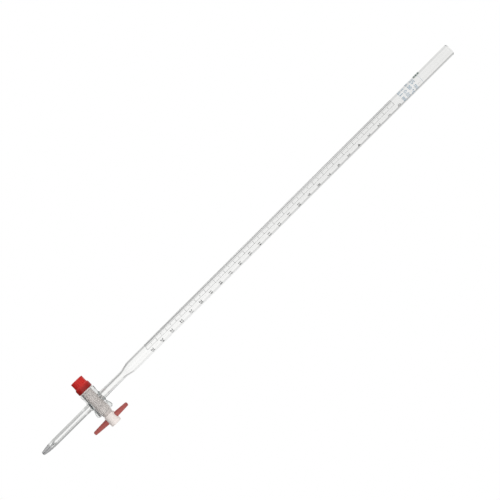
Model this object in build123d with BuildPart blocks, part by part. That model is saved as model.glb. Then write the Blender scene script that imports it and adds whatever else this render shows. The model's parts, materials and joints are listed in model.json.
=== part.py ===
from build123d import *
import math
import os

# A 25 ml burette with a PTFE stopcock, standing upright as it does in a clamp.
# Millimetres. +Z runs up the tube, the stopcock's handle is on the +X side,
# and the origin is where the burette clamp grips the tube, on the tube's axis.

# ---- Driving dimensions: graduated tube ----
CAPACITY_MM3 = 25000.0
SCALE_LENGTH = 341.0
TUBE_WALL = 1.52
TUBE_BORE_R = math.sqrt(CAPACITY_MM3 / (math.pi * SCALE_LENGTH))
TUBE_R = TUBE_BORE_R + TUBE_WALL
CLAMP_ABOVE_STOPCOCK = 240.0
STOPCOCK_Z = -CLAMP_ABOVE_STOPCOCK
MOUTH_Z = STOPCOCK_Z + 492.5
SHOULDER_TOP_Z = STOPCOCK_Z + 51.8
SHOULDER_BOTTOM_Z = STOPCOCK_Z + 38.5
STEM_R = 4.2
STEM_BORE_R = 2.5
SHOULDER_FLOOR_DROP = 1.6
MOUTH_ROUNDING = 0.7

# ---- Driving dimensions: stopcock ----
STOPCOCK_TILT = 1.1
UPPER_ARM_R = 4.5
LOWER_ARM_R = 4.05
PORT_R = 1.5
FUNNEL_START = 7.4
FUNNEL_END = 9.4
UPPER_ARM_LENGTH = 15.0
LOWER_ARM_LENGTH = 14.0
ARM_BLEND_R = 1.8
BARREL_SMALL_X = -13.8
BARREL_LARGE_X = 14.9
BARREL_R = 8.4
SMALL_RIM_R = 8.8
SMALL_RIM_WIDTH = 2.3
BEAD_X = 12.2
BEAD_R = 10.0
BEAD_HALF_WIDTH = 1.2
BEAD_SLOPE = 6.0
BEAD_FACE_DROP = 1.8
RIM_BLEND_R = 2.0
WAIST_BLEND_R = 4.0
BEAD_FOOT_BLEND_R = 6.0
BEAD_BLEND_R = 2.5
BEAD_FACE_BLEND_R = 1.2
SEAT_SMALL_R = 5.3
SEAT_LARGE_R = 6.45
SEAT_CLEARANCE = 0.03
SEAT_FLARE = 0.35
LIP_R = 0.7
CUT_OVERSHOOT = 1.0

# ---- Driving dimensions: key, handle and tension nut ----
KEY_PORT_R = 1.25
PLUG_SMALL_X = -13.0
PLUG_LARGE_X = 14.4
NECK_X = 15.3
NECK_R = 5.6
GROOVE_START_X = 16.9
GROOVE_R = 5.0
HEAD_START_X = 18.4
HEAD_END_X = 30.4
HEAD_R = 5.9
HEAD_ROUNDING = 1.3
TAIL_END_X = -27.6
TAIL_CORE_R = 3.3
TAIL_CHAMFER = 0.4
THREAD_CREST_R = 4.0
THREAD_PITCH = 1.5
THREAD_START_X = -14.4
THREAD_TURNS = 8.0
RIDGE_FOOT_HALF_WIDTH = 0.42
RIDGE_CREST_HALF_WIDTH = 0.22
RIDGE_SINK = 0.1
FLAT_HALF_WIDTH = 3.5
FLATS_START_X = -13.5
BAR_X = 23.2
BAR_DROP = 1.4
BAR_LENGTH = 46.0
BAR_ROOT_WIDTH = 6.1
BAR_ROOT_DEPTH = 5.0
BAR_TIP_WIDTH = 4.0
BAR_TIP_DEPTH = 3.4
BAR_STRAIGHT = 11.0
BAR_TIP_ROUNDING = 1.4
WASHER_THICKNESS = 1.0
WASHER_R = 7.5
WASHER_ROUNDING = 0.25
WASHER_HOLE_CLEARANCE = 0.15
WASHER_FLAT_CLEARANCE = 0.1
SEAL_GAP = 0.05
RING_SECTION_R = 0.9
RING_MEAN_R = 5.2
NUT_END_X = -29.2
NUT_STEP_START_X = -22.2
NUT_STEP_END_X = -20.7
NUT_COLLAR_R = 8.25
NUT_GRIP_R = 7.05
NUT_ROUNDING = 0.7
NUT_BORE_R = 4.1
NUT_RECESS_R = 6.3
NUT_RIDGE_R = 3.45
NUT_THREAD_START_X = -18.15
NUT_TURNS = 6.5
FLUTES = 16
FLUTE_R = 0.8
FLUTE_DEPTH = 0.25
FLUTE_END_X = -22.8

# ---- Driving dimensions: jet ----
JET_R = 3.85
JET_BORE_R = 1.5
JET_TOP_Z = STOPCOCK_Z - LOWER_ARM_LENGTH
JET_TAPER_Z = STOPCOCK_Z - 58.0
JET_TIP_Z = STOPCOCK_Z - 77.2
JET_TIP_R = 2.1
JET_TIP_ROUNDING = 0.9
JET_TIP_SLOPE = -0.3
JET_ORIFICE_R = 0.45
JET_BORE_TAPER_Z = STOPCOCK_Z - 57.5
JET_CAPILLARY_Z = STOPCOCK_Z - 65.5

# ---- Stopcock frame: local x along the key towards the handle, local y up ----
tilt = math.radians(STOPCOCK_TILT)
KEY_DIRECTION = Vector(math.cos(tilt), 0, -math.sin(tilt))
STOPCOCK_CENTRE = Vector(0, 0, STOPCOCK_Z)
STOPCOCK = Plane(origin=STOPCOCK_CENTRE, x_dir=KEY_DIRECTION, z_dir=(0, -1, 0))
KEY_AXIS = Axis(STOPCOCK_CENTRE, KEY_DIRECTION)


def key_section(x):
    """Plane across the key at distance x from the tube's axis, facing the handle."""
    return Plane(
        origin=STOPCOCK_CENTRE + KEY_DIRECTION * x,
        x_dir=(0, 1, 0),
        z_dir=KEY_DIRECTION,
    )


def seat_radius(x):
    """Radius of the tapered seat in the barrel at distance x from the tube's axis."""
    slope = (SEAT_LARGE_R - SEAT_SMALL_R) / (BARREL_LARGE_X - BARREL_SMALL_X)
    return SEAT_SMALL_R + slope * (x - BARREL_SMALL_X)


def thread_ridge(start_x, root_r, crest_r, turns):
    """One helical ridge along the key's tail, right-handed, running away from the barrel."""
    outwards = math.copysign(1.0, crest_r - root_r)
    base_r = root_r - RIDGE_SINK * outwards
    depth = abs(crest_r - base_r)
    with BuildPart(mode=Mode.PRIVATE) as ridge:
        with BuildLine() as path:
            Helix(
                pitch=THREAD_PITCH,
                height=THREAD_PITCH * turns,
                radius=base_r,
                center=STOPCOCK_CENTRE + KEY_DIRECTION * start_x,
                direction=-KEY_DIRECTION,
            )
        centre = STOPCOCK_CENTRE + KEY_DIRECTION * start_x
        radial = (path.line @ 0) - centre
        section = Plane(origin=path.line @ 0, x_dir=radial * outwards, z_dir=path.line % 0)
        with BuildSketch(section):
            with BuildLine():
                Polyline(
                    (0, -RIDGE_FOOT_HALF_WIDTH),
                    (depth, -RIDGE_CREST_HALF_WIDTH),
                    (depth, RIDGE_CREST_HALF_WIDTH),
                    (0, RIDGE_FOOT_HALF_WIDTH),
                    close=True,
                )
            make_face()
        sweep(path=path.line, is_frenet=True)
    return ridge.part


os.makedirs("parts", exist_ok=True)

# ---- Graduated tube: mouth, measuring bore, drawn shoulder and stem ----
stem_end_z = STOPCOCK_Z + UPPER_ARM_LENGTH
with BuildPart() as graduated_tube:
    with BuildSketch(Plane.XZ):
        with BuildLine():
            Line((STEM_BORE_R, stem_end_z), (STEM_R, stem_end_z))
            Line((STEM_R, stem_end_z), (STEM_R, SHOULDER_BOTTOM_Z))
            Spline(
                (STEM_R, SHOULDER_BOTTOM_Z),
                (TUBE_R, SHOULDER_TOP_Z),
                tangents=[(0, 1), (0, 1)],
            )
            Line((TUBE_R, SHOULDER_TOP_Z), (TUBE_R, MOUTH_Z))
            Line((TUBE_R, MOUTH_Z), (TUBE_BORE_R, MOUTH_Z))
            Line((TUBE_BORE_R, MOUTH_Z), (TUBE_BORE_R, SHOULDER_TOP_Z))
            Spline(
                (TUBE_BORE_R, SHOULDER_TOP_Z),
                (STEM_BORE_R, SHOULDER_BOTTOM_Z - SHOULDER_FLOOR_DROP),
                tangents=[(0, -1), (0, -1)],
            )
            Line(
                (STEM_BORE_R, SHOULDER_BOTTOM_Z - SHOULDER_FLOOR_DROP),
                (STEM_BORE_R, stem_end_z),
            )
        make_face()
    revolve(axis=Axis.Z)
    rim_edges = graduated_tube.edges().group_by(Axis.Z)[-1]
    fillet(rim_edges, MOUTH_ROUNDING)
graduated_tube.part.label = "graduated_tube"
export_step(graduated_tube.part, "parts/graduated_tube.step")

# ---- Stopcock barrel: beaded horizontal barrel with an arm above and below ----
with BuildPart() as stopcock_barrel:
    with BuildSketch(STOPCOCK):
        with BuildLine():
            FilletPolyline(
                (BARREL_SMALL_X, 0),
                (BARREL_SMALL_X, SMALL_RIM_R),
                (BARREL_SMALL_X + SMALL_RIM_WIDTH, SMALL_RIM_R),
                (BARREL_SMALL_X + 2 * SMALL_RIM_WIDTH, BARREL_R),
                (BEAD_X - BEAD_SLOPE, BARREL_R),
                (BEAD_X - BEAD_HALF_WIDTH, BEAD_R),
                (BEAD_X + BEAD_HALF_WIDTH, BEAD_R),
                (BARREL_LARGE_X, BEAD_R - BEAD_FACE_DROP),
                (BARREL_LARGE_X, 0),
                radius=[
                    LIP_R,
                    RIM_BLEND_R,
                    WAIST_BLEND_R,
                    BEAD_FOOT_BLEND_R,
                    BEAD_BLEND_R,
                    BEAD_FACE_BLEND_R,
                    LIP_R,
                ],
            )
            Line((BARREL_LARGE_X, 0), (BARREL_SMALL_X, 0))
        make_face()
    revolve(axis=KEY_AXIS)
    barrel_edges = stopcock_barrel.edges()
    with BuildSketch(Plane.XY.offset(STOPCOCK_Z)):
        Circle(UPPER_ARM_R)
    extrude(amount=UPPER_ARM_LENGTH)
    with BuildSketch(Plane.XY.offset(STOPCOCK_Z)):
        Circle(LOWER_ARM_R)
    extrude(amount=-LOWER_ARM_LENGTH)
    seam_edges = stopcock_barrel.edges() - barrel_edges
    seam_edges = seam_edges.filter_by(GeomType.CIRCLE, reverse=True).filter_by(GeomType.LINE, reverse=True)
    fillet(seam_edges, ARM_BLEND_R)
    with BuildSketch(STOPCOCK):
        with BuildLine():
            Polyline(
                (BARREL_SMALL_X - CUT_OVERSHOOT, 0),
                (BARREL_LARGE_X + CUT_OVERSHOOT, 0),
                (BARREL_LARGE_X + CUT_OVERSHOOT, SEAT_LARGE_R + SEAT_FLARE),
                (BARREL_LARGE_X, SEAT_LARGE_R + SEAT_FLARE),
                (BARREL_LARGE_X - SEAT_FLARE, seat_radius(BARREL_LARGE_X - SEAT_FLARE)),
                (BARREL_SMALL_X + SEAT_FLARE, seat_radius(BARREL_SMALL_X + SEAT_FLARE)),
                (BARREL_SMALL_X, SEAT_SMALL_R + SEAT_FLARE),
                (BARREL_SMALL_X - CUT_OVERSHOOT, SEAT_SMALL_R + SEAT_FLARE),
                close=True,
            )
        make_face()
    revolve(axis=KEY_AXIS, mode=Mode.SUBTRACT)
    with BuildSketch(Plane(origin=STOPCOCK_CENTRE, x_dir=(1, 0, 0), z_dir=(0, -1, 0))):
        with BuildLine():
            Polyline(
                (0, -LOWER_ARM_LENGTH),
                (PORT_R, -LOWER_ARM_LENGTH),
                (PORT_R, FUNNEL_START),
                (STEM_BORE_R, FUNNEL_END),
                (STEM_BORE_R, UPPER_ARM_LENGTH),
                (0, UPPER_ARM_LENGTH),
                close=True,
            )
        make_face()
    revolve(axis=Axis.Z, mode=Mode.SUBTRACT)
stopcock_barrel.part.label = "stopcock_barrel"
export_step(stopcock_barrel.part, "parts/stopcock_barrel.step")

# ---- Jet: thick-walled delivery tube drawn in to a fine orifice ----
with BuildPart() as jet:
    with BuildSketch(Plane.XZ):
        with BuildLine():
            Line((JET_BORE_R, JET_TOP_Z), (JET_R, JET_TOP_Z))
            Line((JET_R, JET_TOP_Z), (JET_R, JET_TAPER_Z))
            Spline(
                (JET_R, JET_TAPER_Z),
                (JET_TIP_R, JET_TIP_Z),
                tangents=[(0, -1), (JET_TIP_SLOPE, -1)],
            )
            Line((JET_TIP_R, JET_TIP_Z), (JET_ORIFICE_R, JET_TIP_Z))
            Line((JET_ORIFICE_R, JET_TIP_Z), (JET_ORIFICE_R, JET_CAPILLARY_Z))
            Spline(
                (JET_ORIFICE_R, JET_CAPILLARY_Z),
                (JET_BORE_R, JET_BORE_TAPER_Z),
                tangents=[(0, 1), (0, 1)],
            )
            Line((JET_BORE_R, JET_BORE_TAPER_Z), (JET_BORE_R, JET_TOP_Z))
        make_face()
    revolve(axis=Axis.Z)
    tip_edge = jet.edges().filter_by(GeomType.CIRCLE).group_by(Axis.Z)[0].sort_by(SortBy.RADIUS)[-1]
    fillet(tip_edge, JET_TIP_ROUNDING)
jet.part.label = "jet"
export_step(jet.part, "parts/jet.step")

# ---- Key: tapered plug with a cross port, threaded tail, groove and head ----
with BuildPart() as key_plug:
    with BuildSketch(STOPCOCK):
        with BuildLine():
            Polyline(
                (TAIL_END_X, 0),
                (TAIL_END_X, TAIL_CORE_R - TAIL_CHAMFER),
                (TAIL_END_X + TAIL_CHAMFER, TAIL_CORE_R),
                (PLUG_SMALL_X, TAIL_CORE_R),
                (PLUG_SMALL_X, seat_radius(PLUG_SMALL_X) - SEAT_CLEARANCE),
                (PLUG_LARGE_X, seat_radius(PLUG_LARGE_X) - SEAT_CLEARANCE),
                (NECK_X, NECK_R),
                (GROOVE_START_X, NECK_R),
                (GROOVE_START_X, GROOVE_R),
                (HEAD_START_X, GROOVE_R),
                (HEAD_START_X, HEAD_R),
                (HEAD_END_X, HEAD_R),
                (HEAD_END_X, 0),
                close=True,
            )
        make_face()
    revolve(axis=KEY_AXIS)
    head_end = key_plug.edges().filter_by(GeomType.CIRCLE).sort_by(Axis.X)[-1]
    fillet(head_end, HEAD_ROUNDING)
    add(thread_ridge(THREAD_START_X, TAIL_CORE_R, THREAD_CREST_R, THREAD_TURNS))
    with BuildSketch(key_section(FLATS_START_X)):
        Rectangle(4 * THREAD_CREST_R, 4 * THREAD_CREST_R)
        Rectangle(4 * THREAD_CREST_R, 2 * FLAT_HALF_WIDTH, mode=Mode.SUBTRACT)
    extrude(amount=TAIL_END_X - CUT_OVERSHOOT - FLATS_START_X, mode=Mode.SUBTRACT)
    with BuildSketch(Plane(origin=STOPCOCK_CENTRE, x_dir=KEY_DIRECTION, z_dir=STOPCOCK.y_dir)):
        Circle(KEY_PORT_R)
    extrude(amount=SEAT_LARGE_R + CUT_OVERSHOOT, both=True, mode=Mode.SUBTRACT)
    bar_centre = STOPCOCK_CENTRE + KEY_DIRECTION * BAR_X - STOPCOCK.y_dir * BAR_DROP
    bar_plane = Plane(origin=bar_centre, x_dir=KEY_DIRECTION, z_dir=STOPCOCK.y_dir)
    with BuildSketch(bar_plane):
        Ellipse(BAR_ROOT_WIDTH / 2, BAR_ROOT_DEPTH / 2)
    extrude(amount=HEAD_R + BAR_DROP + CUT_OVERSHOOT, both=True, mode=Mode.SUBTRACT)
key_plug.part.label = "key_plug"
export_step(key_plug.part, "parts/key_plug.step")

# ---- Handle bar: oval bar held in the head, its two wings tapering to round tips ----
with BuildPart() as handle_bar:
    with BuildSketch(bar_plane):
        Ellipse(BAR_ROOT_WIDTH / 2, BAR_ROOT_DEPTH / 2)
    extrude(amount=BAR_STRAIGHT / 2, both=True)
    for wing_direction in (1, -1):
        with BuildSketch(bar_plane.offset(wing_direction * BAR_STRAIGHT / 2)):
            Ellipse(BAR_ROOT_WIDTH / 2, BAR_ROOT_DEPTH / 2)
        with BuildSketch(bar_plane.offset(wing_direction * BAR_LENGTH / 2)):
            Ellipse(BAR_TIP_WIDTH / 2, BAR_TIP_DEPTH / 2)
        loft()
    tip_faces = handle_bar.faces().sort_by(Axis.Z)
    fillet(tip_faces[0].edges() + tip_faces[-1].edges(), BAR_TIP_ROUNDING)
handle_bar.part.label = "handle_bar"
export_step(handle_bar.part, "parts/handle_bar.step")

# ---- Washer: keyed to the tail's flats, bearing on the barrel's small end ----
washer_x = BARREL_SMALL_X - SEAL_GAP - WASHER_THICKNESS
with BuildPart() as key_washer:
    with BuildSketch(key_section(washer_x)):
        Circle(WASHER_R)
        with BuildSketch(key_section(washer_x), mode=Mode.SUBTRACT):
            Circle(THREAD_CREST_R + WASHER_HOLE_CLEARANCE)
            Rectangle(
                4 * THREAD_CREST_R,
                2 * (FLAT_HALF_WIDTH + WASHER_FLAT_CLEARANCE),
                mode=Mode.INTERSECT,
            )
    extrude(amount=WASHER_THICKNESS)
    washer_rim = key_washer.edges().filter_by(GeomType.CIRCLE).group_by(SortBy.RADIUS)[-1]
    fillet(washer_rim, WASHER_ROUNDING)
key_washer.part.label = "key_washer"
export_step(key_washer.part, "parts/key_washer.step")

# ---- O-ring: lies in the nut's recess against the washer ----
ring_x = washer_x - SEAL_GAP - RING_SECTION_R
with BuildPart() as o_ring:
    with BuildSketch(STOPCOCK):
        with Locations((ring_x, RING_MEAN_R)):
            Circle(RING_SECTION_R)
    revolve(axis=KEY_AXIS)
o_ring.part.label = "o_ring"
export_step(o_ring.part, "parts/o_ring.step")

# ---- Tension nut: stepped nut with a fluted grip and a recess for the O-ring ----
nut_face_x = washer_x - 3 * SEAL_GAP
recess_floor_x = ring_x - RING_SECTION_R - SEAL_GAP
with BuildPart() as tension_nut:
    with BuildSketch(STOPCOCK):
        with BuildLine():
            Polyline(
                (nut_face_x, NUT_RECESS_R),
                (nut_face_x, NUT_COLLAR_R),
                (NUT_STEP_END_X, NUT_COLLAR_R),
                (NUT_STEP_START_X, NUT_GRIP_R),
                (NUT_END_X, NUT_GRIP_R),
                (NUT_END_X, NUT_BORE_R),
                (recess_floor_x, NUT_BORE_R),
                (recess_floor_x, NUT_RECESS_R),
                close=True,
            )
        make_face()
    revolve(axis=KEY_AXIS)
    outer_rims = tension_nut.edges().filter_by(GeomType.CIRCLE).filter_by(
        lambda edge: edge.radius > NUT_RECESS_R
    )
    fillet(outer_rims, NUT_ROUNDING)
    with BuildSketch(key_section(NUT_END_X - CUT_OVERSHOOT)):
        with PolarLocations(NUT_GRIP_R + FLUTE_R - FLUTE_DEPTH, FLUTES):
            Circle(FLUTE_R)
    extrude(amount=FLUTE_END_X - NUT_END_X + CUT_OVERSHOOT, mode=Mode.SUBTRACT)
    add(thread_ridge(NUT_THREAD_START_X, NUT_BORE_R, NUT_RIDGE_R, NUT_TURNS))
tension_nut.part.label = "tension_nut"
export_step(tension_nut.part, "parts/tension_nut.step")
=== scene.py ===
import json
import math

import bmesh
import bpy
from mathutils import Matrix, Vector
from mathutils.bvhtree import BVHTree


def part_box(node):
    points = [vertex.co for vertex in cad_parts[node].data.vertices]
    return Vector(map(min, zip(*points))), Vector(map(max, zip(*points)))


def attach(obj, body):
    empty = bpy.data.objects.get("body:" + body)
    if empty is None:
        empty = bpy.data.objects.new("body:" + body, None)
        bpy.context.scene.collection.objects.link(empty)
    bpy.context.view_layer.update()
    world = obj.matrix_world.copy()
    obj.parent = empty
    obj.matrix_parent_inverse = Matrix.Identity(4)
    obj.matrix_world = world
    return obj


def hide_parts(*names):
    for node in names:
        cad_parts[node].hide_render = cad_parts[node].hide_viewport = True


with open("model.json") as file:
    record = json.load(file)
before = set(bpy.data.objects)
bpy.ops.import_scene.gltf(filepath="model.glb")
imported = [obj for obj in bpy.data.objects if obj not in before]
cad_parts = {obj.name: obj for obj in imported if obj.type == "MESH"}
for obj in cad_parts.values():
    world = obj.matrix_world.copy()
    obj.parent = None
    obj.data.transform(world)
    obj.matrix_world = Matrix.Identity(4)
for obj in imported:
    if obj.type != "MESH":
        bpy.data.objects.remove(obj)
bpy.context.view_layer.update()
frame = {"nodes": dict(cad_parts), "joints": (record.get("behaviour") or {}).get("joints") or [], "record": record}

# The burette's looks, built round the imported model. Metres; +Z up the tube,
# the handle on the +X side, the scale's front towards -Y.
MM = 0.001

# ---- Places and sizes that the frame gives ----
record = frame["record"]
mounts = {mount["name"]: mount for mount in record["mounts"]}
joints = {joint["name"]: joint for joint in frame["joints"]}
TUBE_R = mounts["clamp_grip"]["dims"]["r_mm"] * MM
BORE_R = mounts["tube_mouth"]["dims"]["r_mm"] * MM
JET_R = mounts["jet_outside"]["dims"]["r_mm"] * MM
STOPCOCK = Vector(joints["key_turn"]["pos_m"])
KEY_AXIS = Vector(joints["key_turn"]["axis"])
MOUTH_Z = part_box("graduated_tube")[1].z
UPPER_SEAM_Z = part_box("graduated_tube")[0].z
LOWER_SEAM_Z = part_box("jet")[1].z
TIP_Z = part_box("jet")[0].z

# ---- Sizes that repeat the design's own ----
UPPER_ARM_R = 4.5 * MM
LOWER_ARM_R = 4.05 * MM
STEM_R = 4.2 * MM
STEM_BORE_R = 2.5 * MM
SHOULDER_TOP_Z = STOPCOCK.z + 51.8 * MM
SHOULDER_BOTTOM_Z = STOPCOCK.z + 38.5 * MM
SHOULDER_FLOOR_DROP = 1.6 * MM
JET_BORE_R = 1.5 * MM
JET_TAPER_Z = STOPCOCK.z - 58.0 * MM
JET_BORE_TAPER_Z = STOPCOCK.z - 57.5 * MM
CAPILLARY_Z = STOPCOCK.z - 65.5 * MM
TIP_R = 2.1 * MM
ORIFICE_R = 0.45 * MM
TIP_ROUNDING = 0.9 * MM

# ---- Finishing of the glass: the jet's ground tip and rough bore end, the seals and the seat ----
GROUND_TIP_Z = STOPCOCK.z - 66.5 * MM
ROUGH_BORE_Z = STOPCOCK.z - 60.5 * MM
SEAL_LENGTH = 3.0 * MM
SEAM_GAP = 0.4 * MM
SEAT_RELIEF = 0.06 * MM
ROUND_SEGMENTS = 120
SAME_HEIGHT = 0.01 * MM
SAME_POINT = 0.0005 * MM

# ---- Painted shade on the key's neck and the nut's collar, and a slightly darker head, over spans along the key from the stopcock's centre ----
NECK_START = (13.6 * MM, 15.1 * MM)
HEAD_START = (18.1 * MM, 18.7 * MM)
COLLAR_SPAN = (-22.5 * MM, -16.5 * MM)
NECK_SHADE = 0.71
HEAD_SHADE = 0.91
COLLAR_SHADE = 0.54

# ---- The printed scale: each mark's span in degrees round the tube, and its width ----
ZERO_MARK_Z = STOPCOCK.z + 417.2 * MM
ML_PITCH = 13.64 * MM
CAPACITY_ML = 25
MARKS_PER_ML = 10
PRINT_SINK = 0.01 * MM
PRINT_RISE = 0.03 * MM
FINE_MARK = ((-88, -26), 0.25 * MM)
HALF_MARK = ((-88, -8), 0.25 * MM)
ML_MARK = ((-88, 4), 0.27 * MM)
SPINE_WIDTH_DEG = 2.0
NUMERAL_SIZE = 4.7 * MM
NUMERAL_WEIGHT = 0.06 * MM
NUMERAL_ANGLE = 37
NUMERAL_ABOVE_LINE = 3.4 * MM

# ---- The data block: text, letter size, added weight and height above the stopcock, in mm ----
DATA_ROWS = (
    ("25 ml", 5.6, 0.14, 444.8),
    ("in 20 °C", 4.6, 0.2, 439.2),
    ("± 0.05", 5.0, 0.1, 433.4),
    ("0.1 ml", 5.0, 0.24, 428.5),
)
DATA_ANGLE = -5
DATA_LINE_HEIGHT = 452.4
DATA_LINE = ((-45, 60), 0.25 * MM)
CLASS_BAR_HEIGHTS = (449.4, 452.0, 454.6)
CLASS_BAR = ((-88, -48), 1.9 * MM)


# ---- Node helpers ----
def new_material(name):
    """A node material: the material, its node tree and its Principled shader."""
    material = bpy.data.materials.new(name)
    material.use_nodes = True
    return material, material.node_tree, material.node_tree.nodes["Principled BSDF"]


def add_node(tree, kind, inputs=(), **settings):
    """A node with its settings, and its inputs set to values or linked to sockets."""
    node = tree.nodes.new(kind)
    for key, value in settings.items():
        setattr(node, key, value)
    for name, value in dict(inputs).items():
        if isinstance(value, bpy.types.NodeSocket):
            tree.links.new(value, node.inputs[name])
        else:
            node.inputs[name].default_value = value
    return node


def noise(tree, coordinates, scale, detail=3.0):
    """A noise factor from 0 to 1 over the given coordinates, scale in cells to the metre."""
    node = add_node(
        tree, "ShaderNodeTexNoise",
        {"Vector": coordinates, "Scale": scale, "Detail": detail},
    )
    return node.outputs["Fac"]


def spread(tree, factor, low, high):
    """The factor's middle half stretched to run from low to high."""
    node = add_node(
        tree, "ShaderNodeMapRange",
        {"Value": factor, "From Min": 0.3, "From Max": 0.7, "To Min": low, "To Max": high},
    )
    return node.outputs["Result"]


def blend_colours(tree, factor, first, second):
    """A colour that goes from first to second with the factor."""
    node = add_node(tree, "ShaderNodeMix", data_type="RGBA")
    tree.links.new(factor, node.inputs["Factor"])
    node.inputs["A"].default_value = (*first, 1)
    node.inputs["B"].default_value = (*second, 1)
    return node.outputs["Result"]


def map_range(tree, value, source, target, kind="SMOOTHSTEP"):
    node = add_node(
        tree, "ShaderNodeMapRange",
        {
            "Value": value, "From Min": source[0], "From Max": source[1],
            "To Min": target[0], "To Max": target[1],
        },
        interpolation_type=kind,
    )
    return node.outputs["Result"]


def mix_values(tree, factor, first, second):
    node = add_node(tree, "ShaderNodeMix", {"Factor": factor, "A": first, "B": second})
    return node.outputs["Result"]


def product(tree, first, second):
    node = add_node(tree, "ShaderNodeMath", {0: first, 1: second}, operation="MULTIPLY")
    return node.outputs["Value"]


def larger(tree, first, second):
    node = add_node(tree, "ShaderNodeMath", {0: first, 1: second}, operation="MAXIMUM")
    return node.outputs["Value"]


def object_coordinates(tree):
    return add_node(tree, "ShaderNodeTexCoord").outputs["Object"]


def stretched(tree, coordinates, scale):
    node = add_node(tree, "ShaderNodeMapping", {"Vector": coordinates, "Scale": scale})
    return node.outputs["Vector"]


def key_station(tree, where):
    """The distance along the key's axis from the stopcock's centre, towards the handle."""
    along = add_node(tree, "ShaderNodeVectorMath", {0: where}, operation="DOT_PRODUCT")
    along.inputs[1].default_value = KEY_AXIS
    station = add_node(tree, "ShaderNodeMath", {0: along.outputs["Value"]}, operation="SUBTRACT")
    station.inputs[1].default_value = STOPCOCK.dot(KEY_AXIS)
    return station.outputs["Value"]


def shaded(tree, colour, shade):
    """The colour times a shade from 0, black, to 1, as it is."""
    node = add_node(
        tree, "ShaderNodeMix", {"Factor": 1.0, "A": colour, "B": shade},
        data_type="RGBA", blend_type="MULTIPLY",
    )
    return node.outputs["Result"]


def add_bump(tree, shader, height, distance, strength=1.0):
    bump = add_node(
        tree, "ShaderNodeBump",
        {"Height": height, "Distance": distance, "Strength": strength},
    )
    tree.links.new(bump.outputs["Normal"], shader.inputs["Normal"])


# ---- Materials ----
def glass_material(name, haze, tint):
    """Borosilicate, a faint grey-green in the mass, with the drawn tube's slight waviness."""
    material, tree, shader = new_material(name)
    shader.inputs["Base Color"].default_value = (*tint, 1)
    shader.inputs["Transmission Weight"].default_value = 1.0
    shader.inputs["IOR"].default_value = 1.473
    where = object_coordinates(tree)
    drawn = noise(tree, stretched(tree, where, (1.0, 1.0, 0.05)), 120.0, 0.0)
    add_bump(tree, shader, drawn, 0.01 * MM, 0.2)
    cloud = noise(tree, where, 90.0)
    tree.links.new(spread(tree, cloud, *haze), shader.inputs["Roughness"])
    mass = add_node(
        tree, "ShaderNodeVolumeAbsorption", {"Color": (0.66, 0.74, 0.73, 1), "Density": 22.0}
    )
    output = tree.nodes["Material Output"]
    tree.links.new(mass.outputs["Volume"], output.inputs["Volume"])
    return material


def ptfe_material():
    """Waxy off-white PTFE with the fine rings that turning leaves round the key's axis."""
    material, tree, shader = new_material("turned_ptfe")
    where = object_coordinates(tree)
    station = key_station(tree, where)
    rings = add_node(
        tree, "ShaderNodeTexNoise",
        {"W": station, "Scale": 2600.0, "Detail": 4.0},
        noise_dimensions="1D",
    ).outputs["Fac"]
    bands = add_node(
        tree, "ShaderNodeTexNoise",
        {"W": station, "Scale": 420.0, "Detail": 3.0},
        noise_dimensions="1D",
    ).outputs["Fac"]
    clouds = noise(tree, where, 160.0)
    mixed = add_node(tree, "ShaderNodeMath", {0: bands, 1: clouds}, operation="MULTIPLY")
    tone = add_node(
        tree, "ShaderNodeMapRange",
        {"Value": mixed.outputs["Value"], "From Min": 0.15, "From Max": 0.35},
    ).outputs["Result"]
    colour = blend_colours(tree, tone, (0.74, 0.68, 0.65), (0.84, 0.775, 0.745))
    # Painted shade: the neck darkens where it leaves the glass barrel; the head is a little darker than the plug's
    # body.
    neck = map_range(tree, station, NECK_START, (1.0, NECK_SHADE))
    head = map_range(tree, station, HEAD_START, (0.0, 1.0))
    colour = shaded(tree, colour, mix_values(tree, head, neck, HEAD_SHADE))
    tree.links.new(colour, shader.inputs["Base Color"])
    tree.links.new(spread(tree, rings, 0.38, 0.55), shader.inputs["Roughness"])
    add_bump(tree, shader, rings, 0.01 * MM, 0.3)
    return material


def plastic_material(name, dark, light, painted_shade_span=None):
    """Moulded plastic, semi-gloss, a little uneven in colour and gloss.

    The optional last argument is a span along the key's axis over which painted shade darkens the colour.
    """
    material, tree, shader = new_material(name)
    where = object_coordinates(tree)
    tone = spread(tree, noise(tree, where, 130.0), 0.0, 1.0)
    colour = blend_colours(tree, tone, dark, light)
    if painted_shade_span:
        # Painted shade: the colour darkens over the span, on the nut's collar towards the barrel.
        painted_shade = map_range(tree, key_station(tree, where), painted_shade_span, (1.0, COLLAR_SHADE))
        colour = shaded(tree, colour, painted_shade)
    tree.links.new(colour, shader.inputs["Base Color"])
    shader.inputs["Specular IOR Level"].default_value = 0.35
    skin = noise(tree, where, 2200.0, 2.0)
    tree.links.new(spread(tree, skin, 0.3, 0.42), shader.inputs["Roughness"])
    add_bump(tree, shader, skin, 0.02 * MM, 0.35)
    return material


def rubber_material():
    """Matt black ring rubber with a dusty bloom."""
    material, tree, shader = new_material("ring_rubber")
    where = object_coordinates(tree)
    bloom = spread(tree, noise(tree, where, 700.0), 0.0, 1.0)
    colour = blend_colours(tree, bloom, (0.02, 0.019, 0.018), (0.05, 0.048, 0.045))
    tree.links.new(colour, shader.inputs["Base Color"])
    tree.links.new(spread(tree, bloom, 0.6, 0.8), shader.inputs["Roughness"])
    add_bump(tree, shader, noise(tree, where, 4000.0), 0.02 * MM, 0.5)
    return material


def enamel_material(name, dark, light):
    """Fired print: a matt enamel that is slightly thinner in places."""
    material, tree, shader = new_material(name)
    where = object_coordinates(tree)
    worn = spread(tree, noise(tree, where, 1500.0, 5.0), 0.0, 1.0)
    tree.links.new(blend_colours(tree, worn, dark, light), shader.inputs["Base Color"])
    tree.links.new(spread(tree, worn, 0.45, 0.7), shader.inputs["Roughness"])
    add_bump(tree, shader, worn, 0.004 * MM, 0.5)
    return material


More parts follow.
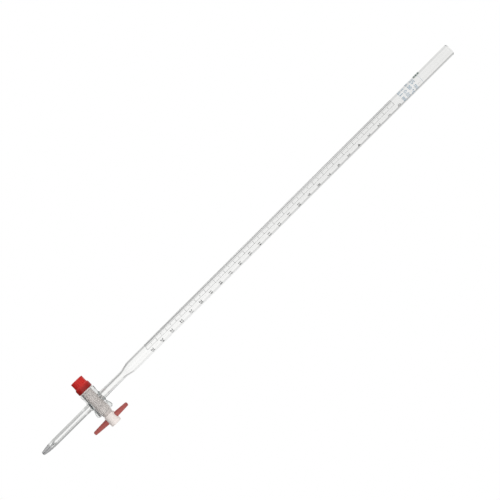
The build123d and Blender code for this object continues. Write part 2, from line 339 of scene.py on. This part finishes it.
# ---- Mesh helpers ----
def link_mesh(name, mesh, material, body):
    """An object for the mesh, with its material and body."""
    piece = bpy.data.objects.new(name, mesh)
    bpy.context.scene.collection.objects.link(piece)
    piece.data.materials.clear()
    piece.data.materials.append(material)
    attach(piece, body)
    return piece


def ease(start, end, share):
    """Start to end with a level start and a level finish."""
    return start + (end - start) * share * share * (3 - 2 * share)


def eased_profile(first, last, steps):
    """Points of an S-curve between two (radius, z) points, parallel to the axis at both."""
    points = []
    for step in range(1, steps):
        share = step / steps
        points.append((ease(first[0], last[0], share), first[1] + (last[1] - first[1]) * share))
    return points


def drawn_profile(first, last, steps):
    """Points of glass drawn in from one (radius, z) point to another, ever more steeply."""
    points = []
    for step in range(1, steps):
        share = step / steps
        radius = first[0] + (last[0] - first[0]) * share * share
        points.append((radius, first[1] + (last[1] - first[1]) * share))
    return points


def quarter_round(centre, radius, start_deg, steps, sweep_deg=90):
    """Points of an arc in the (radius, z) plane."""
    points = []
    for step in range(steps + 1):
        angle = math.radians(start_deg + sweep_deg * step / steps)
        points.append((centre[0] + radius * math.cos(angle), centre[1] + radius * math.sin(angle)))
    return points


def lathe(bm, profile):
    """Turns a profile of (radius, z) points about the tube's axis and returns its rings."""
    rings = []
    for radius, z in profile:
        ring = []
        for index in range(ROUND_SEGMENTS):
            angle = 2 * math.pi * index / ROUND_SEGMENTS
            ring.append(bm.verts.new((radius * math.cos(angle), radius * math.sin(angle), z)))
        rings.append(ring)
    for near, far in zip(rings, rings[1:]):
        for index in range(ROUND_SEGMENTS):
            following = (index + 1) % ROUND_SEGMENTS
            bm.faces.new((near[index], near[following], far[following], far[index]))
    return rings


def ring_edges(bm, ring):
    edges = []
    for index, vertex in enumerate(ring):
        edges.append(bm.edges.get((vertex, ring[(index + 1) % len(ring)])))
    return edges


def open_loop(bm, z, near_radius):
    """The open edges at height z, on the circle nearest to the given radius."""
    found = []
    for edge in bm.edges:
        if not edge.is_boundary:
            continue
        middle = (edge.verts[0].co + edge.verts[1].co) / 2
        level = all(abs(vertex.co.z - z) < SAME_HEIGHT for vertex in edge.verts)
        if level and abs(Vector(middle[:2]).length - near_radius) < 0.3 * MM:
            found.append(edge)
    return found


# ---- The glass ----
def tube_profile():
    """Outside up from the seal, over the fire-polished mouth, and down the bore to the seal."""
    seal_top = UPPER_SEAM_Z + SEAL_LENGTH
    lip_r = (TUBE_R - BORE_R) / 2
    lip_centre = ((TUBE_R + BORE_R) / 2, MOUTH_Z - lip_r)
    floor_z = SHOULDER_BOTTOM_Z - SHOULDER_FLOOR_DROP
    profile = [(UPPER_ARM_R, UPPER_SEAM_Z + SEAM_GAP)]
    profile += eased_profile(profile[0], (STEM_R, seal_top), 5)
    profile += [(STEM_R, seal_top), (STEM_R, SHOULDER_BOTTOM_Z)]
    profile += eased_profile((STEM_R, SHOULDER_BOTTOM_Z), (TUBE_R, SHOULDER_TOP_Z), 24)
    profile += [(TUBE_R, SHOULDER_TOP_Z)]
    profile += quarter_round(lip_centre, lip_r, 0, 20, 180)
    profile += [(BORE_R, SHOULDER_TOP_Z)]
    profile += eased_profile((BORE_R, SHOULDER_TOP_Z), (STEM_BORE_R, floor_z), 24)
    profile += [(STEM_BORE_R, floor_z), (STEM_BORE_R, UPPER_SEAM_Z + SEAM_GAP)]
    return profile


def jet_profile():
    """Outside down from the seal, round the drawn-in tip, and up the bore to the seal."""
    seal_end = LOWER_SEAM_Z - SEAL_LENGTH
    edge_centre = (TIP_R - TIP_ROUNDING, TIP_Z + TIP_ROUNDING)
    profile = [(LOWER_ARM_R, LOWER_SEAM_Z - SEAM_GAP)]
    profile += eased_profile(profile[0], (JET_R, seal_end), 5)
    profile += [(JET_R, seal_end), (JET_R, JET_TAPER_Z)]
    profile += drawn_profile((JET_R, JET_TAPER_Z), (TIP_R, TIP_Z + TIP_ROUNDING), 24)
    profile += quarter_round(edge_centre, TIP_ROUNDING, 0, 6, -90)
    profile += [(ORIFICE_R, TIP_Z), (ORIFICE_R, CAPILLARY_Z)]
    profile += eased_profile((ORIFICE_R, CAPILLARY_Z), (JET_BORE_R, JET_BORE_TAPER_Z), 18)
    profile += [(JET_BORE_R, JET_BORE_TAPER_Z), (JET_BORE_R, LOWER_SEAM_Z - SEAM_GAP)]
    return profile


def relieve_seat(bm):
    """Moves the seat a hair away from the key, so that the flat facets of the two stay clear."""
    key = frame["nodes"]["key_plug"].data
    corners = [vertex.co for vertex in key.vertices]
    surface = BVHTree.FromPolygons(corners, [tuple(face.vertices) for face in key.polygons])
    for vertex in bm.verts:
        distance = surface.find_nearest(vertex.co)[3]
        if distance < 0.1 * MM:
            offset = vertex.co - STOPCOCK
            outwards = offset - KEY_AXIS * offset.dot(KEY_AXIS)
            vertex.co += outwards.normalized() * SEAT_RELIEF


def make_glass(clear, ground):
    """One body of glass: the designed barrel, with tube and jet turned and joined on at its arms."""
    barrel = frame["nodes"]["stopcock_barrel"].data.copy()
    kept = barrel.attributes.new("barrel_normal", "FLOAT_VECTOR", "CORNER")
    kept.data.foreach_set("vector", [value for normal in barrel.corner_normals for value in normal.vector])
    bm = bmesh.new()
    bm.from_mesh(barrel)
    bmesh.ops.remove_doubles(bm, verts=bm.verts, dist=SAME_POINT)
    relieve_seat(bm)
    for z in (UPPER_SEAM_Z, LOWER_SEAM_Z):
        ends = [face for face in bm.faces if all(abs(v.co.z - z) < SAME_HEIGHT for v in face.verts)]
        bmesh.ops.delete(bm, geom=ends, context="FACES")
    for z, profile in ((UPPER_SEAM_Z, tube_profile()), (LOWER_SEAM_Z, jet_profile())):
        rings = lathe(bm, profile)
        for ring, radius in ((rings[0], profile[0][0]), (rings[-1], profile[-1][0])):
            loops = open_loop(bm, z, radius) + ring_edges(bm, ring)
            bmesh.ops.bridge_loops(bm, edges=loops)
    bmesh.ops.recalc_face_normals(bm, faces=bm.faces)
    for face in bm.faces:
        face.smooth = True
    mesh = bpy.data.meshes.new("glass_body")
    bm.to_mesh(mesh)
    bm.free()
    normals = [normal.vector.copy() for normal in mesh.corner_normals]
    for index, item in enumerate(mesh.attributes["barrel_normal"].data):
        if item.vector.length > 0.5:
            normals[index] = item.vector.copy()
    mesh.normals_split_custom_set(normals)
    mesh.attributes.remove(mesh.attributes["barrel_normal"])
    bpy.data.meshes.remove(barrel)
    glass = link_mesh("glass_body", mesh, clear, "glass_body")
    mesh.materials.append(ground)
    for face in mesh.polygons:
        in_cone = face.center.z < ROUGH_BORE_Z and face.center.to_2d().length < JET_BORE_R
        if face.center.z < GROUND_TIP_Z or in_cone:
            face.material_index = 1
    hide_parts("graduated_tube", "stopcock_barrel", "jet")
    return glass


# ---- The print ----
def on_tube(angle_deg, radius, z):
    """A point on the tube; the angle runs from the front towards the handle side."""
    angle = math.radians(angle_deg)
    return Vector((radius * math.sin(angle), -radius * math.cos(angle), z))


def arc_strip(bm, z, span, width):
    """A closed raised line round the tube, centred at height z, over a span of degrees."""
    steps = max(2, round((span[1] - span[0]) / 4))
    low_r = TUBE_R - PRINT_SINK
    high_r = TUBE_R + PRINT_RISE
    stations = []
    for step in range(steps + 1):
        angle = span[0] + (span[1] - span[0]) * step / steps
        corners = (
            (low_r, z - width / 2), (high_r, z - width / 2),
            (high_r, z + width / 2), (low_r, z + width / 2),
        )
        stations.append([bm.verts.new(on_tube(angle, radius, level)) for radius, level in corners])
    for near, far in zip(stations, stations[1:]):
        for index in range(4):
            following = (index + 1) % 4
            bm.faces.new((near[index], near[following], far[following], far[index]))
    bm.faces.new(reversed(stations[0]))
    bm.faces.new(stations[-1])


def lettering(bm, text, size, angle_deg, z, weight=0.0, slices=0.35 * MM):
    """Raised lettering wrapped on the tube, its middle at the given angle and height."""
    curve = bpy.data.curves.new("lettering", "FONT")
    curve.body = text
    curve.size = size
    curve.offset = weight
    curve.align_x = "CENTER"
    curve.resolution_u = 4
    source = bpy.data.objects.new("lettering", curve)
    bpy.context.scene.collection.objects.link(source)
    bpy.context.view_layer.update()
    flat = bpy.data.meshes.new_from_object(source.evaluated_get(bpy.context.evaluated_depsgraph_get()))
    bpy.data.objects.remove(source)
    bpy.data.curves.remove(curve)
    glyphs = bmesh.new()
    glyphs.from_mesh(flat)
    bpy.data.meshes.remove(flat)
    bmesh.ops.remove_doubles(glyphs, verts=glyphs.verts, dist=SAME_POINT)
    half_width = max(abs(vertex.co.x) for vertex in glyphs.verts)
    half_height = max(vertex.co.y for vertex in glyphs.verts) / 2
    cut = -half_width + slices
    while cut < half_width:
        geometry = glyphs.verts[:] + glyphs.edges[:] + glyphs.faces[:]
        bmesh.ops.bisect_plane(glyphs, geom=geometry, plane_co=(cut, 0, 0), plane_no=(1, 0, 0))
        cut += slices
    geometry = glyphs.faces[:] + glyphs.edges[:] + glyphs.verts[:]
    raised = bmesh.ops.extrude_face_region(glyphs, geom=geometry, use_keep_orig=True)
    raised_vertices = {item for item in raised["geom"] if isinstance(item, bmesh.types.BMVert)}
    for vertex in glyphs.verts:
        radius = TUBE_R + (PRINT_RISE if vertex in raised_vertices else -PRINT_SINK)
        angle = angle_deg + math.degrees(vertex.co.x / TUBE_R)
        vertex.co = on_tube(angle, radius, z + vertex.co.y - half_height)
    bmesh.ops.recalc_face_normals(glyphs, faces=glyphs.faces)
    wrapped = bpy.data.meshes.new("wrapped")
    glyphs.to_mesh(wrapped)
    glyphs.free()
    bm.from_mesh(wrapped)
    bpy.data.meshes.remove(wrapped)


def finish_print(bm, name, material):
    bmesh.ops.recalc_face_normals(bm, faces=bm.faces)
    mesh = bpy.data.meshes.new(name)
    bm.to_mesh(mesh)
    bm.free()
    return link_mesh(name, mesh, material, "glass_body")


def make_scale(material):
    """Ten marks to the millilitre, the half ones longer and the full ones running on across a fine upright line.
    """
    bm = bmesh.new()
    for index in range(CAPACITY_ML * MARKS_PER_ML + 1):
        z = ZERO_MARK_Z - index * ML_PITCH / MARKS_PER_ML
        span, width = FINE_MARK
        if index % MARKS_PER_ML == 0:
            span, width = ML_MARK
        elif index % MARKS_PER_ML == MARKS_PER_ML // 2:
            span, width = HALF_MARK
        arc_strip(bm, z, span, width)
    length = CAPACITY_ML * ML_PITCH
    middle = ZERO_MARK_Z - length / 2
    arc_strip(bm, middle, (-SPINE_WIDTH_DEG / 2, SPINE_WIDTH_DEG / 2), length)
    return finish_print(bm, "scale_marks", material)


def make_numerals(material):
    bm = bmesh.new()
    for ml in range(CAPACITY_ML + 1):
        z = ZERO_MARK_Z - ml * ML_PITCH + NUMERAL_ABOVE_LINE
        lettering(bm, str(ml), NUMERAL_SIZE, NUMERAL_ANGLE, z, NUMERAL_WEIGHT)
    return finish_print(bm, "scale_numerals", material)


def make_data_block(material):
    """Plain capacity data in pale print above the scale, under a thin line."""
    bm = bmesh.new()
    for text, size, weight, height in DATA_ROWS:
        lettering(bm, text, size * MM, DATA_ANGLE, STOPCOCK.z + height * MM, weight * MM)
    arc_strip(bm, STOPCOCK.z + DATA_LINE_HEIGHT * MM, *DATA_LINE)
    return finish_print(bm, "data_block", material)


def make_class_mark(material):
    """Three short broad bars at the side of the data block."""
    bm = bmesh.new()
    for height in CLASS_BAR_HEIGHTS:
        arc_strip(bm, STOPCOCK.z + height * MM, *CLASS_BAR)
    return finish_print(bm, "class_mark", material)


clear_mat = glass_material("burette_glass", (0.0, 0.02), (1, 1, 1))
ground_mat = glass_material("ground_glass", (0.45, 0.6), (0.61, 0.61, 0.62))
ptfe_mat = ptfe_material()
nut_mat = plastic_material("red_plastic", (0.42, 0.008, 0.006), (0.51, 0.014, 0.009), COLLAR_SPAN)
bar_mat = plastic_material("dull_red_plastic", (0.3, 0.06, 0.054), (0.38, 0.088, 0.078))
rubber_mat = rubber_material()
scale_mat = enamel_material("scale_enamel", (0.035, 0.037, 0.04), (0.075, 0.078, 0.082))
data_mat = enamel_material("data_enamel", (0.3, 0.37, 0.43), (0.4, 0.48, 0.55))
class_mat = enamel_material("class_enamel", (0.1, 0.15, 0.13), (0.16, 0.22, 0.195))

make_glass(clear_mat, ground_mat)
make_scale(scale_mat)
make_numerals(scale_mat)
make_data_block(data_mat)
make_class_mark(class_mat)

cad_finishes = {
    "key_plug": ptfe_mat,
    "key_washer": ptfe_mat,
    "handle_bar": bar_mat,
    "tension_nut": nut_mat,
    "o_ring": rubber_mat,
}
for node_name, finish in cad_finishes.items():
    for material_slot in frame["nodes"][node_name].material_slots:
        material_slot.material = finish


# ---- Floor, light and camera ----
# Studio brightness as (height of the direction, brightness): straight behind, and in the
# gaps to the left and right of it.
PANEL_LEVELS = (
    (-0.5, 1.0), (-0.24, 1.0), (-0.13, 0.94), (0.0, 0.87), (0.14, 0.86), (0.24, 0.79), (0.5, 0.85),
)
LEFT_GAP_LEVELS = (
    (-0.5, 0.42), (-0.29, 0.36), (-0.23, 0.58), (-0.13, 0.72), (0.07, 0.68), (0.25, 0.9), (0.5, 0.8),
)
RIGHT_GAP_LEVELS = (
    (-0.5, 0.45), (-0.35, 0.5), (-0.24, 0.88), (-0.13, 0.7), (0.05, 0.48), (0.24, 0.55), (0.5, 0.5),
)
FILL = 1.5
STUDIO_TINT = (1, 0.995, 0.985)
FLOOR_HALF_WIDTH = 6.0
FLOOR_DROP = 0.12
SOFTBOX_DISTANCE = 1.2
SOFTBOX_WIDTH = 0.38
SOFTBOX_HEIGHT = 1.2
SOFTBOX_POWER = 2.5
RIGHT_SOFTBOX_ANGLE = 50
LEFT_SOFTBOX_ANGLE = -34
SOFTBOX_AIM = Vector((0, 0, -0.1))
CAMERA_DISTANCE = 0.860
CAMERA_ELEVATION = 4.07
CAMERA_ROLL = 45.14
CAMERA_AIM = Vector((0.0014, 0, STOPCOCK.z + 218.1 * MM))


def make_floor():
    """A wide pale floor below the tip, evenly lit, so that no edge or horizon shows."""
    half = FLOOR_HALF_WIDTH
    z = TIP_Z - FLOOR_DROP
    mesh = bpy.data.meshes.new("floor")
    corners = [(-half, -half, z), (half, -half, z), (half, half, z), (-half, half, z)]
    mesh.from_pydata(corners, [], [(0, 1, 2, 3)])
    floor = bpy.data.objects.new("floor", mesh)
    bpy.context.scene.collection.objects.link(floor)
    material, tree, shader = new_material("pale_floor")
    shader.inputs["Base Color"].default_value = (0, 0, 0, 1)
    shader.inputs["Specular IOR Level"].default_value = 0
    shader.inputs["Emission Color"].default_value = (1, 1, 1, 1)
    shader.inputs["Emission Strength"].default_value = 1.0
    mesh.materials.append(material)
    floor.visible_diffuse = False
    floor.visible_glossy = False
    floor.visible_transmission = False
    floor.visible_shadow = False


def ramp(tree, factor, stops):
    """A value that follows the stops, each a (direction height, brightness) pair."""
    node = add_node(tree, "ShaderNodeValToRGB", {"Fac": factor})
    elements = node.color_ramp.elements
    while len(elements) < len(stops):
        elements.new(0.5)
    for element, (height, brightness) in zip(elements, stops):
        element.position = height + 0.5
        element.color = (brightness, brightness, brightness, 1)
    return node.outputs["Color"]


def studio_levels(tree, parts):
    """Brightness by direction: a bright panel at each quarter turn and darker gaps between them."""
    azimuth = add_node(tree, "ShaderNodeMath", {0: parts["X"], 1: parts["Y"]}, operation="ARCTAN2")
    quarters = product(tree, azimuth.outputs["Value"], 4.0)
    wave = add_node(tree, "ShaderNodeMath", {0: quarters}, operation="COSINE").outputs["Value"]
    left_panel = map_range(tree, wave, (-0.2, 0.9), (0.0, 1.0))
    right_panel = map_range(tree, wave, (-0.3, 0.4), (0.0, 1.0))
    level = map_range(tree, parts["Z"], (-0.5, 0.5), (0.0, 1.0), "LINEAR")
    side = map_range(tree, parts["X"], (-0.15, 0.15), (0.0, 1.0))
    left = ramp(tree, level, LEFT_GAP_LEVELS)
    right = ramp(tree, level, RIGHT_GAP_LEVELS)
    gap = mix_values(tree, side, left, right)
    panel = mix_values(tree, side, left_panel, right_panel)
    height = add_node(tree, "ShaderNodeMath", {0: parts["Z"]}, operation="ABSOLUTE")
    steep = map_range(tree, height.outputs["Value"], (0.5, 0.75), (0.0, 1.0))
    return mix_values(tree, larger(tree, panel, steep), gap, ramp(tree, level, PANEL_LEVELS))


def studio_shade(tree, parts, scattered, transmissions):
    """The dark floor and dim ceiling, which shade only the pieces, the solid glass and the rims.

    Light that has crossed the hollow glass skips them, or the tube would look black from above.
    """
    through_solid = map_range(tree, transmissions, (2.0, 3.0), (1.0, 0.0), "LINEAR")
    darkest = mix_values(tree, scattered, 0.16, 0.06)
    below = mix_values(tree, map_range(tree, parts["Z"], (-0.75, -0.45), (0.0, 1.0)), darkest, 1.0)
    above = map_range(tree, parts["Z"], (0.7, 0.95), (1.0, 0.5))
    return mix_values(tree, larger(tree, scattered, through_solid), 1.0, product(tree, below, above))


def make_world():
    """White behind the object; round it a bright studio with darker gaps that draw the glass's edges."""
    world = bpy.data.worlds.new("studio")
    bpy.context.scene.world = world
    world.use_nodes = True
    tree = world.node_tree
    tree.nodes.clear()
    direction = add_node(tree, "ShaderNodeTexCoord").outputs["Generated"]
    parts = add_node(tree, "ShaderNodeSeparateXYZ", {"Vector": direction}).outputs
    path = add_node(tree, "ShaderNodeLightPath").outputs
    scattered = map_range(tree, path["Diffuse Depth"], (0.0, 1.0), (0.0, 1.0), "LINEAR")
    shade = studio_shade(tree, parts, scattered, path["Transmission Depth"])
    brightness = product(tree, studio_levels(tree, parts), shade)
    strength = product(tree, brightness, mix_values(tree, scattered, 1.0, FILL))
    studio = add_node(tree, "ShaderNodeBackground", {"Color": (*STUDIO_TINT, 1), "Strength": strength})
    backdrop = add_node(tree, "ShaderNodeBackground", {"Color": (1, 1, 1, 1), "Strength": 1.0})
    mixed = add_node(tree, "ShaderNodeMixShader", {"Fac": path["Is Camera Ray"]})
    tree.links.new(studio.outputs["Background"], mixed.inputs[1])
    tree.links.new(backdrop.outputs["Background"], mixed.inputs[2])
    output = add_node(tree, "ShaderNodeOutputWorld")
    tree.links.new(mixed.outputs["Shader"], output.inputs["Surface"])


def aim(thing, target, roll_deg=0.0):
    """Turns a light or camera to look at the target, rolled about its line of sight."""
    look = (target - thing.location).to_track_quat("-Z", "Y")
    roll = Matrix.Rotation(math.radians(roll_deg), 4, "Z")
    thing.rotation_euler = (look.to_matrix().to_4x4() @ roll).to_euler()


def make_softbox(name, angle_deg):
    """An upright soft light in front of the scale, turned round the tube towards the handle side."""
    data = bpy.data.lights.new(name, "AREA")
    data.shape = "RECTANGLE"
    data.size = SOFTBOX_WIDTH
    data.size_y = SOFTBOX_HEIGHT
    data.energy = SOFTBOX_POWER
    light = bpy.data.objects.new(name, data)
    bpy.context.scene.collection.objects.link(light)
    angle = math.radians(angle_deg)
    light.location = SOFTBOX_DISTANCE * Vector((math.sin(angle), -math.cos(angle), 0.15))
    aim(light, SOFTBOX_AIM)
    light.visible_glossy = False
    light.visible_transmission = False


def make_camera():
    data = bpy.data.cameras.new("camera")
    data.lens = 62.5
    data.sensor_width = 36.0
    data.clip_start = 0.01
    camera = bpy.data.objects.new("camera", data)
    bpy.context.scene.collection.objects.link(camera)
    lift = math.radians(CAMERA_ELEVATION)
    camera.location = CAMERA_AIM + CAMERA_DISTANCE * Vector((0, -math.cos(lift), math.sin(lift)))
    aim(camera, CAMERA_AIM, CAMERA_ROLL)
    bpy.context.scene.camera = camera


make_floor()
make_world()
make_softbox("right_softbox", RIGHT_SOFTBOX_ANGLE)
make_softbox("left_softbox", LEFT_SOFTBOX_ANGLE)
make_camera()

scene = bpy.context.scene
scene.view_settings.view_transform = "Standard"
scene.cycles.use_denoising = True
scene.cycles.use_adaptive_sampling = False
scene.cycles.sample_clamp_indirect = 2.0
scene.cycles.max_bounces = 32
scene.cycles.transmission_bounces = 28
scene.cycles.glossy_bounces = 12
scene.cycles.diffuse_bounces = 4
scene.cycles.transparent_max_bounces = 16
